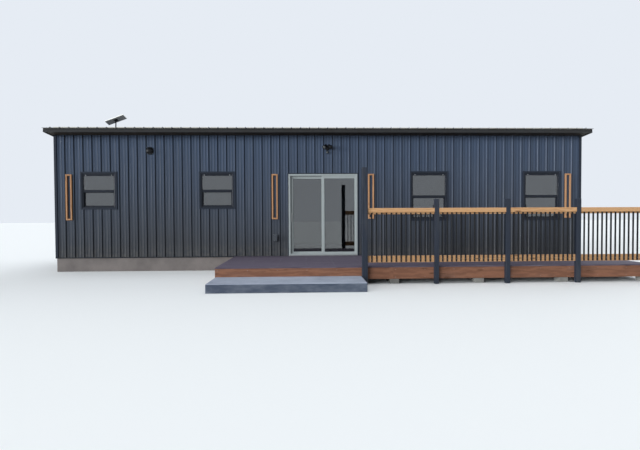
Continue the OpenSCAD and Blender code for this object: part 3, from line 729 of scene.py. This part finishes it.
def siding_screws():
    """Rows of screws beside the major ribs of the siding, left out where something covers it."""
    areas = [(low.x - window_trim, high.x + window_trim, low.z - window_trim, high.z + window_trim)
             for low, high in window_boxes]
    low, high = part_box("patio_door_frame")
    areas.append((low.x - door_trim, high.x + door_trim, 0, high.z + door_trim))
    boxes = [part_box(name) for name in ("vent_hood", "floodlight", "outlet_box")]
    boxes += solids("cedar_wall_frames")
    areas += [(low.x, high.x, low.z, high.z) for low, high in boxes]
    back_gap, end_gap = 0.05, 0.1
    count = int(half_len / rib_pitch)
    depth_count = int(half_depth / rib_pitch)
    siding_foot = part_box("front_siding")[0].z
    back_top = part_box("back_siding")[1].z
    piece = Piece()
    for row in SCREW_ROWS:
        z = siding_foot + row
        for i in range(-count + 1, count):
            x = i * rib_pitch + BESIDE_RIB
            if not covered(x, z, areas):
                piece.add(moved(HEX_SCREW, outwards(x, z, sheet_t)))
            if z < back_top - back_gap:
                spot = Matrix.Translation((x, half_depth + sheet_t, z))
                piece.add(moved(HEX_SCREW, spot @ Matrix.Rotation(-pi / 2, 4, "X")))
        for i in range(-depth_count + 1, depth_count):
            y = i * rib_pitch + BESIDE_RIB
            if z < wall_top - end_gap - (y + half_depth) * tan(radians(roof_pitch)):
                for side in (-1, 1):
                    spot = Matrix.Translation((side * (half_len + sheet_t), y, z))
                    piece.add(moved(HEX_SCREW, spot @ Matrix.Rotation(side * pi / 2, 4, "Y")))
    piece.make("siding_screws", [siding_look], "siding")


def roof_run(y):
    """The distance down the roof from the front wall to a point at y."""
    return (y - front_y) / cos(radians(roof_pitch))


def roof_screws():
    """Rows of screws beside the roof's major ribs, which stand half a spacing off the siding's."""
    first, row_inset, past_wall = -0.34, 0.03, 0.03
    last = roof_run(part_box("roof_deck")[1].y)
    rows = ceil((last - first) / ROOF_ROW_GAP)
    count = int(half_len / rib_pitch)
    piece = Piece()
    for row in range(rows + 1):
        run = first + row_inset + row * (last - first - 2 * row_inset) / rows
        for i in range(-count - 1, count + 1):
            x = (i + 0.5) * rib_pitch + BESIDE_RIB
            if abs(x) < half_len + past_wall:
                piece.add(moved(HEX_SCREW, on_roof(x, run, roof_t + sheet_t)))
    piece.make("roof_screws", [roof_look], "roof_metal")


def turned_up_pans():
    """The roof sheet's flat parts, turned up at the front, where they show their pale back."""
    height, thick, ease = 0.017, 0.0012, 0.0004
    set_back, rib_gap, end_tab = 0.002, 0.004, 0.03
    run = roof_run(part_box("roof_sheet")[0].y) + set_back
    half_tab = (rib_pitch - rib_base) / 2 - rib_gap
    count = int(half_len / rib_pitch)
    piece = Piece()
    for i in range(-count, count + 1):
        left = half_tab if i > -count else end_tab
        right = half_tab if i < count else end_tab
        tab = eased_box((-left, 0, 0), (right, thick, height), ease)
        piece.add(moved(tab, on_roof(i * rib_pitch, run, roof_t + sheet_t)))
    piece.make("turned_up_pans", [sheet_back_look], "roof_metal")


siding_screws()
roof_screws()
turned_up_pans()


# Porch deck

def plank_ends(low_x, high_x, row, joists):
    """Where the planks of one row of the deck end: at the edges and at joists between them."""
    steps = (3.66, 2.44, 4.27, 3.05)
    shortest = 1.2
    ends = [low_x]
    target = low_x + steps[row % len(steps)]
    while target < high_x - shortest:
        ends.append(min(joists, key=lambda x: abs(x - target)))
        target = ends[-1] + steps[(row + len(ends)) % len(steps)]
    return ends + [high_x]


def deck_planks():
    """Deck boards with butt joints over the joists, and two screws in each board at each joist."""
    deck_low, deck_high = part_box("deck_boards")
    first = deck_low.x + fascia_t + joist_t / 2
    last = deck_high.x - fascia_t - joist_t / 2
    count = ceil((last - first) / joist_pitch)
    joists = [first + i * (last - first) / count for i in range(count + 1)]
    head = turned([(0, 0.0008), (0.003, 0.0008), (0.0042, 0.0002), (0.0042, -0.0004),
                   (0, -0.0004)], 8)
    screw_inset, half_joint, joint_screws = 0.03, 0.001, 0.008
    boards, screws = Piece(), Piece()
    rows = sorted(solids("deck_boards"), key=lambda box: box[0].y)
    for n, (low, high) in enumerate(rows):
        ends = plank_ends(low.x, high.x, n, joists)
        for start, end in zip(ends, ends[1:]):
            gap = [half_joint if x in joists else 0 for x in (start, end)]
            boards.board((start + gap[0], low.y, low.z), (end - gap[1], high.y, high.z), 0.004,
                         seed=n)
        for x in joists:
            shifts = (-joint_screws, joint_screws) if x in ends[1:-1] else (0,)
            for y in (low.y + screw_inset, high.y - screw_inset):
                for shift in shifts:
                    screws.add(moved(head, Matrix.Translation((x + shift, y, high.z))))
    boards.make("deck_planks", [deck_look], "deck_board", replaced=["deck_boards"])
    screws.make("deck_screws", [zinc_look], "handle_metal")


def deck_fascia():
    """Three fascia boards along the front and one at each end, with pairs of small screws."""
    low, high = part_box("deck_fascia")
    board_len, screw_columns, screw_gap = 3.66, 15, 0.61
    screw_start, screw_edge = 0.05, 0.04
    fascia, pins = Piece(), Piece()
    ends = [low.x, low.x + board_len, low.x + 2 * board_len, high.x]
    for k, (start, end) in enumerate(zip(ends, ends[1:])):
        fascia.board((start, low.y, low.z), (end, low.y + fascia_t, high.z), 0.003, seed=k + 0.3)
    for x in (low.x, high.x - fascia_t):
        fascia.board((x, low.y + fascia_t, low.z), (x + fascia_t, high.y, high.z), 0.003, seed=x)
    fascia.make("deck_fascia_planks", [fascia_wood_look], "deck_fascia", replaced=["deck_fascia"])
    head = moved(pan_head(1.1, 0.6), Matrix.Rotation(pi / 2, 4, "X"))
    for i in range(screw_columns):
        x = low.x + screw_start + i * screw_gap
        for z in (low.z + screw_edge, high.z - screw_edge):
            pins.add(moved(head, Matrix.Translation((x, low.y, z))))
    pins.make("deck_fascia_screws", [zinc_look], "handle_metal", smooth=True)


deck_planks()
deck_fascia()


# Railing

def railing_bay(number):
    """Cedar rails with eased edges and black square balusters, in the place of the plain bay."""
    name = "railing_panel_%d" % number
    low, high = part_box(name)
    mid = high.y - rail_t
    under = high.z - top_rail_h
    ease = 0.004
    bay = Piece()
    bay.board((low.x, mid, under - sub_rail_drop), (high.x, high.y, high.z), ease, seed=number)
    bay.board((low.x, low.y, under), (high.x, mid, high.z), ease, seed=number + 0.4)
    bay.board((low.x, mid, low.z), (high.x, high.y, low.z + low_rail_h), ease, seed=number + 0.7)
    length = high.x - low.x
    count = round(length / baluster_pitch) - 1
    pitch = (length + baluster_w) / (count + 1)
    head = moved(pan_head(1.1, 1, 8), Matrix.Rotation(pi / 2, 4, "X"))
    for k in range(1, count + 1):
        right = low.x + k * pitch
        bay.add(eased_box((right - baluster_w, mid - baluster_w, low.z + baluster_foot),
                          (right, mid, under), 0.002), 1, 2)
        spot = (right - baluster_w / 2, mid - baluster_w, low.z + low_rail_h / 2)
        bay.add(moved(head, Matrix.Translation(spot)), 2)
    bay.make("railing_bay_%d" % number, [cedar_look, black_look, zinc_look], "cedar",
             replaced=[name])


for bay_number in range(1, 5):
    railing_bay(bay_number)


# Wall fittings

def cedar_frames():
    """Slim open frames of four butted cedar boards."""
    ease = 0.003
    piece = Piece()
    for n, (low, high) in enumerate(solids("cedar_wall_frames")):
        left, right = low.x + frame_bar, high.x - frame_bar
        piece.board(low, (left, high.y, high.z), ease, seed=n)
        piece.board((right, low.y, low.z), high, ease, seed=n + 0.2)
        for z in (low.z, high.z - frame_bar):
            piece.board((left, low.y, z), (right, high.y, z + frame_bar), ease, seed=n + z)
    piece.make("cedar_frame_boards", [frame_cedar_look], "frame_cedar",
               replaced=["cedar_wall_frames"])


def vent_details():
    """Four screws in the vent hood's flange."""
    low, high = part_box("vent_hood")
    mid = (low + high) / 2
    radius = (high.x - low.x) / 2 - 0.005
    piece = Piece()
    for angle in (radians(turn) for turn in (45, 135, 225, 315)):
        x, z = mid.x + radius * cos(angle), mid.z + radius * sin(angle)
        piece.add(moved(pan_head(0.8), outwards(x, z, trim_face)))
    piece.make("vent_screws", [zinc_look], "handle_metal", smooth=True)


def lamp_details():
    """Lenses in the two lamp heads and on the motion sensor, where the solids put them."""
    low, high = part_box("floodlight")
    above_slab, base_r, base_t = 2.799, 0.0575, 0.036
    x, z = (low.x + high.x) / 2, slab_h + above_slab
    head_x, head_up, head_out = 0.026, base_r + 0.014, base_t + 0.022
    head_turn, head_tilt, head_len = 42, 35, 0.1085
    eye_drop, eye_out, eye_tilt, eye_size = 0.112, base_t + 0.014, 12, 1.03
    lens = turned([(0, 0.0035), (0.02, 0.003), (0.036, 0.0015), (0.0405, 0), (0.0405, -0.001),
                   (0, -0.001)], 32)
    eye = turned([(0, 0.0315), (0.012, 0.029), (0.02, 0.0245), (0.0235, 0.02), (0, 0.018)], 24)
    piece = Piece()
    for side in (-1, 1):
        head = Matrix.Translation((side * head_x, head_up, head_out))
        turn = (Matrix.Rotation(radians(side * head_turn), 4, "Y")
                @ Matrix.Rotation(radians(head_tilt), 4, "X"))
        piece.add(moved(lens, outwards(x, z, 0) @ head @ turn
                        @ Matrix.Translation((0, 0, head_len))))
    tilt = Matrix.Rotation(radians(eye_tilt), 4, "X")
    piece.add(moved(eye, outwards(x, z - eye_drop, eye_out) @ tilt @ Matrix.Scale(eye_size, 4)))
    piece.make("lamp_lenses", [lens_look], "black_metal", smooth=True)


def outlet_details():
    """Two screws in the outlet box's cover and the pin of its hinge."""
    low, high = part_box("outlet_box")
    mid = (low.x + high.x) / 2
    screw_edge, pin_r, pin_len = 0.02, 0.004, 0.07
    pin_in, pin_drop = 0.012, 0.009
    piece = Piece()
    for z in (low.z + screw_edge, high.z - screw_edge):
        piece.add(moved(pan_head(0.9), outwards(mid, z, front_y - low.y)))
    pin = turned([(0, 0), (pin_r, 0), (pin_r, pin_len), (0, pin_len)], 12)
    spot = Matrix.Translation((mid - pin_len / 2, low.y + pin_in, high.z - pin_drop))
    piece.add(moved(pin, spot @ Matrix.Rotation(pi / 2, 4, "Y")))
    piece.make("outlet_screws", [zinc_look], "handle_metal", smooth=True)


def solar_details():
    """Rows of cells, inside a narrow rim, on the upper face of the solar panel."""
    roll, fall = radians(21), radians(15)
    width, length, thick, mast = 0.21, 0.48, 0.022, 0.27
    columns, rows, rim, gap = 8, 3, 0.014, 0.004
    sunk, proud, ease = 0.0005, 0.0008, 0.0003
    from_end, overhang = 1.6, 0.15
    x = -round((half_len - from_end) / rib_pitch) * rib_pitch
    foot = on_roof(x, -overhang, roof_t + sheet_t + minor_h)
    turn = Matrix.Rotation(-roll, 4, "Y") @ Matrix.Rotation(radians(roof_pitch) - fall, 4, "X")
    top = foot @ Matrix.Translation((0, 0, mast)) @ turn @ Matrix.Translation((0, 0, thick))
    cell_x = (length - 2 * rim - (columns - 1) * gap) / columns
    cell_y = (width - 2 * rim - (rows - 1) * gap) / rows
    cells = Piece()
    for i in range(columns):
        for j in range(rows):
            left = -length / 2 + rim + i * (cell_x + gap)
            near = -width / 2 + rim + j * (cell_y + gap)
            cells.add(moved(eased_box((left, near, -sunk), (left + cell_x, near + cell_y, proud),
                                      ease), top))
    cells.make("solar_cells", [cell_look], "solar_frame")


cedar_frames()
vent_details()
lamp_details()
outlet_details()
solar_details()


# Floor, light and backdrop

def floor_material():
    """Pale to the camera and in reflections. It throws less light back at the house."""
    look = Look("floor", rough=0.9)
    path = look.node("LightPath")
    direct = look.math("MAXIMUM", path.outputs["Is Camera Ray"], path.outputs["Is Glossy Ray"])
    direct = look.math("MAXIMUM", direct, path.outputs["Is Transmission Ray"])
    look.colour(look.mix(direct, rgb(128, 128, 125), rgb(238, 238, 236)))
    return look.material


FLOOR_REACH = 90
COOL_WHITE = (0.9, 0.95, 1.0)

# Each sun's name, strength, angle in degrees, colour, the direction it stands in, and whether
# reflections and glass see it
SUNS = (("key", 2.3, 12, (0.94, 0.97, 1.0), (-0.95, -0.28, 0.09), True),
        ("front_fill", 3.3, 36, COOL_WHITE, (-0.57, -0.73, 0.09), False),
        ("top_fill", 1.5, 60, COOL_WHITE, (0.0, -0.1, 1.0), False),
        ("back_fill", 1.6, 60, COOL_WHITE, (0.5, 0.8, 0.5), False))


def floor():
    """The floor, far larger than the house."""
    r = FLOOR_REACH
    mesh = bpy.data.meshes.new("floor")
    mesh.from_pydata([(-r, -r, 0), (r, -r, 0), (r, r, 0), (-r, r, 0)], [], [[0, 1, 2, 3]])
    mesh.materials.append(floor_material())
    plane = bpy.data.objects.new("floor", mesh)
    bpy.context.scene.collection.objects.link(plane)


def sky():
    """An even cool light, which the camera, reflections and glass see as a pale backdrop."""
    world = bpy.data.worlds.new("studio")
    bpy.context.scene.world = world
    world.use_nodes = True
    links = world.node_tree.links
    make = world.node_tree.nodes.new
    light = world.node_tree.nodes["Background"]
    light.inputs["Color"].default_value = (0.86, 0.92, 1.0, 1)
    light.inputs["Strength"].default_value = 0.25
    backdrop = make("ShaderNodeBackground")
    backdrop.inputs["Color"].default_value = rgb(230, 236, 244)
    backdrop.inputs["Strength"].default_value = 1.0
    path = make("ShaderNodeLightPath")
    direct = path.outputs["Is Camera Ray"]
    for kind in ("Is Transmission Ray", "Is Glossy Ray"):
        either = make("ShaderNodeMath")
        either.operation = "MAXIMUM"
        links.new(direct, either.inputs[0])
        links.new(path.outputs[kind], either.inputs[1])
        direct = either.outputs[0]
    blend = make("ShaderNodeMixShader")
    links.new(direct, blend.inputs[0])
    links.new(light.outputs[0], blend.inputs[1])
    links.new(backdrop.outputs[0], blend.inputs[2])
    links.new(blend.outputs[0], world.node_tree.nodes["World Output"].inputs["Surface"])


def suns():
    """The low key light and three soft fills, which reflections and glass don't show."""
    for name, energy, angle, colour, towards, seen in SUNS:
        lamp = bpy.data.objects.new(name, bpy.data.lights.new(name, "SUN"))
        lamp.data.energy = energy
        lamp.data.angle = radians(angle)
        lamp.data.color = colour
        lamp.rotation_euler = Vector(towards).to_track_quat("Z", "Y").to_euler()
        lamp.visible_glossy = seen
        lamp.visible_transmission = seen
        bpy.context.scene.collection.objects.link(lamp)


floor()
sky()
suns()
